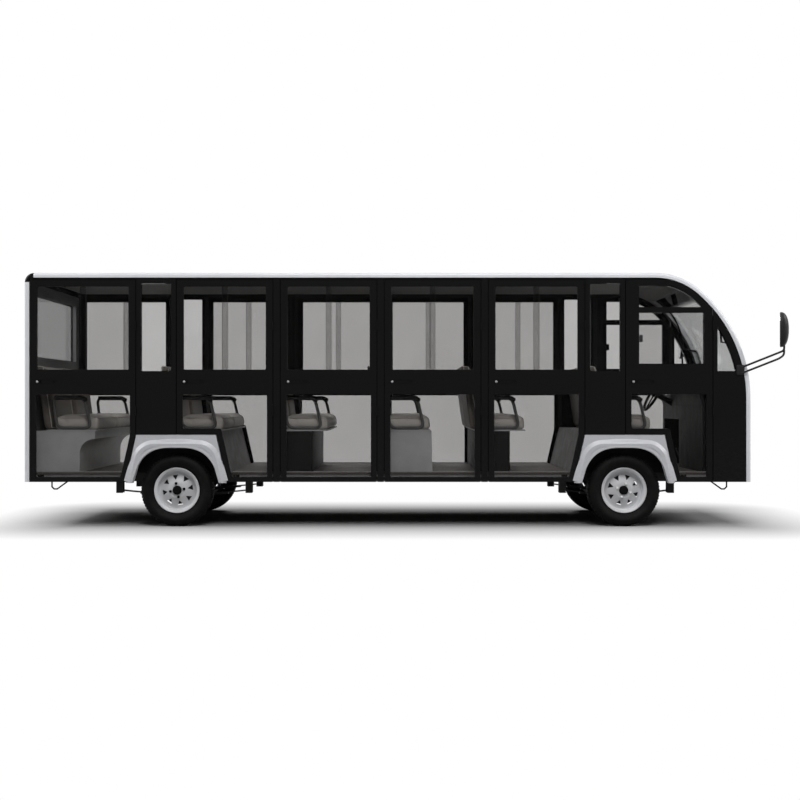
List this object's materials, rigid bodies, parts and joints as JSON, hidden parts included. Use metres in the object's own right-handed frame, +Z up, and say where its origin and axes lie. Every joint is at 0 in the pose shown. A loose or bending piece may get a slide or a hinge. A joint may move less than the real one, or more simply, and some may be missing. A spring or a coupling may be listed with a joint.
{
  "type": "enclosed electric sightseeing car",
  "caption": "Enclosed electric sightseeing car: boxy black sides with tinted doors for each bench row, white roof, nose and fenders, steered front axle and leaf-sprung wheels.",
  "frame": {"origin": "on the ground below the middle of the overall length and width, mirrors included", "axes": "+X to the front, +Y to the vehicle's left, +Z up"},
  "size_m": [6.2578, 1.8598, 2.086],
  "materials": {
    "body_white": "gloss white moulded panel",
    "body_black": "gloss black moulded panel",
    "side_glass": "grey tinted safety glass",
    "screen_glass": "lightly tinted laminated glass",
    "chassis_black": "satin black chassis paint",
    "cast_grey": "dark cast iron",
    "spring_steel": "black painted spring steel",
    "floor_grey": "grey-brown floor covering",
    "trim_grey": "mid grey board",
    "base_grey": "light grey moulded box",
    "tube_black": "satin black tube",
    "seat_leather": "warm grey artificial leather",
    "dash_plastic": "black grained plastic",
    "mirror_black": "black plastic",
    "lamp_clear": "clear lamp lens",
    "tyre_black": "black tyre rubber",
    "rim_white": "silver-white painted steel wheel"
  },
  "bodies": {
    "vehicle_body": {"chassis_frame": "chassis_black", "floor_deck": "floor_grey", "wheel_boxes": "trim_grey", "roof": "body_white", "rear_cap": "body_black", "front_shell": "body_white", "windscreen": "screen_glass", "rear_panel": "body_white", "side_frames": "body_black", "side_panels": "body_black", "fixed_glass": "side_glass", "fenders": "body_white", "seat_bases": "base_grey", "armrests": "tube_black", "seat_cushions": "seat_leather", "seat_backs": "seat_leather", "dashboard": "dash_plastic", "front_axle": "chassis_black", "rear_axle": "cast_grey", "leaf_springs": "spring_steel", "mirrors": "mirror_black", "tow_loops": "chassis_black", "lamps": "lamp_clear", "wiper": "mirror_black"},
    "door_rear_right": {"door_rear_right": "body_black", "glass_rear_right": "side_glass"},
    "door_rear_left": {"door_rear_left": "body_black", "glass_rear_left": "side_glass"},
    "door_second_right": {"door_second_right": "body_black", "glass_second_right": "side_glass"},
    "door_second_left": {"door_second_left": "body_black", "glass_second_left": "side_glass"},
    "door_third_right": {"door_third_right": "body_black", "glass_third_right": "side_glass"},
    "door_third_left": {"door_third_left": "body_black", "glass_third_left": "side_glass"},
    "door_fourth_right": {"door_fourth_right": "body_black", "glass_fourth_right": "side_glass"},
    "door_fourth_left": {"door_fourth_left": "body_black", "glass_fourth_left": "side_glass"},
    "door_fifth_right": {"door_fifth_right": "body_black", "glass_fifth_right": "side_glass"},
    "door_fifth_left": {"door_fifth_left": "body_black", "glass_fifth_left": "side_glass"},
    "door_driver_right": {"door_driver_right": "body_black", "glass_driver_right": "side_glass"},
    "door_driver_left": {"door_driver_left": "body_black", "glass_driver_left": "side_glass"},
    "wheel_front_right": {"rim_front_right": "rim_white", "tyre_front_right": "tyre_black"},
    "wheel_front_left": {"rim_front_left": "rim_white", "tyre_front_left": "tyre_black"},
    "wheel_rear_right": {"rim_rear_right": "rim_white", "tyre_rear_right": "tyre_black"},
    "wheel_rear_left": {"rim_rear_left": "rim_white", "tyre_rear_left": "tyre_black"},
    "knuckle_right": {"knuckle_right": "cast_grey"},
    "knuckle_left": {"knuckle_left": "cast_grey"},
    "tie_rod": {"tie_rod": "chassis_black"},
    "steering_wheel": {"steering_wheel": "dash_plastic"}
  },
  "joints": [
    {"name": "door_rear_right_swing", "type": "hinge", "parent": "vehicle_body", "child": "door_rear_right", "pos_m": [-2.19989, -0.763, 1.3], "axis": [0, 0, 1], "range_deg": [0, 75]},
    {"name": "door_rear_left_swing", "type": "hinge", "parent": "vehicle_body", "child": "door_rear_left", "pos_m": [-2.19989, 0.763, 1.3], "axis": [0, 0, -1], "range_deg": [0, 75]},
    {"name": "door_second_right_swing", "type": "hinge", "parent": "vehicle_body", "child": "door_second_right", "pos_m": [-1.07489, -0.763, 1.3], "axis": [0, 0, 1], "range_deg": [0, 75]},
    {"name": "door_second_left_swing", "type": "hinge", "parent": "vehicle_body", "child": "door_second_left", "pos_m": [-1.07489, 0.763, 1.3], "axis": [0, 0, -1], "range_deg": [0, 75]},
    {"name": "door_third_right_swing", "type": "hinge", "parent": "vehicle_body", "child": "door_third_right", "pos_m": [-0.22189, -0.763, 1.3], "axis": [0, 0, 1], "range_deg": [0, 75]},
    {"name": "door_third_left_swing", "type": "hinge", "parent": "vehicle_body", "child": "door_third_left", "pos_m": [-0.22189, 0.763, 1.3], "axis": [0, 0, -1], "range_deg": [0, 75]},
    {"name": "door_fourth_right_swing", "type": "hinge", "parent": "vehicle_body", "child": "door_fourth_right", "pos_m": [0.63111, -0.763, 1.3], "axis": [0, 0, 1], "range_deg": [0, 75]},
    {"name": "door_fourth_left_swing", "type": "hinge", "parent": "vehicle_body", "child": "door_fourth_left", "pos_m": [0.63111, 0.763, 1.3], "axis": [0, 0, -1], "range_deg": [0, 75]},
    {"name": "door_fifth_right_swing", "type": "hinge", "parent": "vehicle_body", "child": "door_fifth_right", "pos_m": [1.48411, -0.763, 1.3], "axis": [0, 0, 1], "range_deg": [0, 75]},
    {"name": "door_fifth_left_swing", "type": "hinge", "parent": "vehicle_body", "child": "door_fifth_left", "pos_m": [1.48411, 0.763, 1.3], "axis": [0, 0, -1], "range_deg": [0, 75]},
    {"name": "door_driver_right_swing", "type": "hinge", "parent": "vehicle_body", "child": "door_driver_right", "pos_m": [2.53411, -0.763, 1.3], "axis": [0, 0, 1], "range_deg": [0, 75]},
    {"name": "door_driver_left_swing", "type": "hinge", "parent": "vehicle_body", "child": "door_driver_left", "pos_m": [2.53411, 0.763, 1.3], "axis": [0, 0, -1], "range_deg": [0, 75]},
    {"name": "steer_right", "type": "hinge", "parent": "vehicle_body", "child": "knuckle_right", "pos_m": [1.81111, -0.59, 0.297], "axis": [0, 0, 1], "range_deg": [-28, 28]},
    {"name": "steer_left", "type": "hinge", "parent": "vehicle_body", "child": "knuckle_left", "pos_m": [1.81111, 0.59, 0.297], "axis": [0, 0, 1], "range_deg": [-28, 28]},
    {"name": "tie_rod_pivot", "type": "hinge", "parent": "knuckle_right", "child": "tie_rod", "pos_m": [1.69111, -0.59, 0.3], "axis": [0, 0, 1], "range_deg": [-28, 28]},
    {"name": "steering_wheel_turn", "type": "hinge", "parent": "vehicle_body", "child": "steering_wheel", "pos_m": [2.30411, 0.36, 1.105], "axis": [-0.866, 0, 0.5], "range_deg": [-510, 510]},
    {"name": "wheel_front_right_spin", "type": "hinge", "parent": "knuckle_right", "child": "wheel_front_right", "pos_m": [1.81111, -0.662, 0.297], "axis": [0, 1, 0], "continuous": true},
    {"name": "wheel_front_left_spin", "type": "hinge", "parent": "knuckle_left", "child": "wheel_front_left", "pos_m": [1.81111, 0.662, 0.297], "axis": [0, 1, 0], "continuous": true},
    {"name": "wheel_rear_right_spin", "type": "hinge", "parent": "vehicle_body", "child": "wheel_rear_right", "pos_m": [-1.86989, -0.662, 0.297], "axis": [0, 1, 0], "continuous": true},
    {"name": "wheel_rear_left_spin", "type": "hinge", "parent": "vehicle_body", "child": "wheel_rear_left", "pos_m": [-1.86989, 0.662, 0.297], "axis": [0, 1, 0], "continuous": true}
  ],
  "couplings": [
    {"joint": "steer_left", "follows": "steer_right", "ratio": 1},
    {"joint": "tie_rod_pivot", "follows": "steer_right", "ratio": -1},
    {"joint": "steering_wheel_turn", "follows": "steer_right", "ratio": 18}
  ]
}
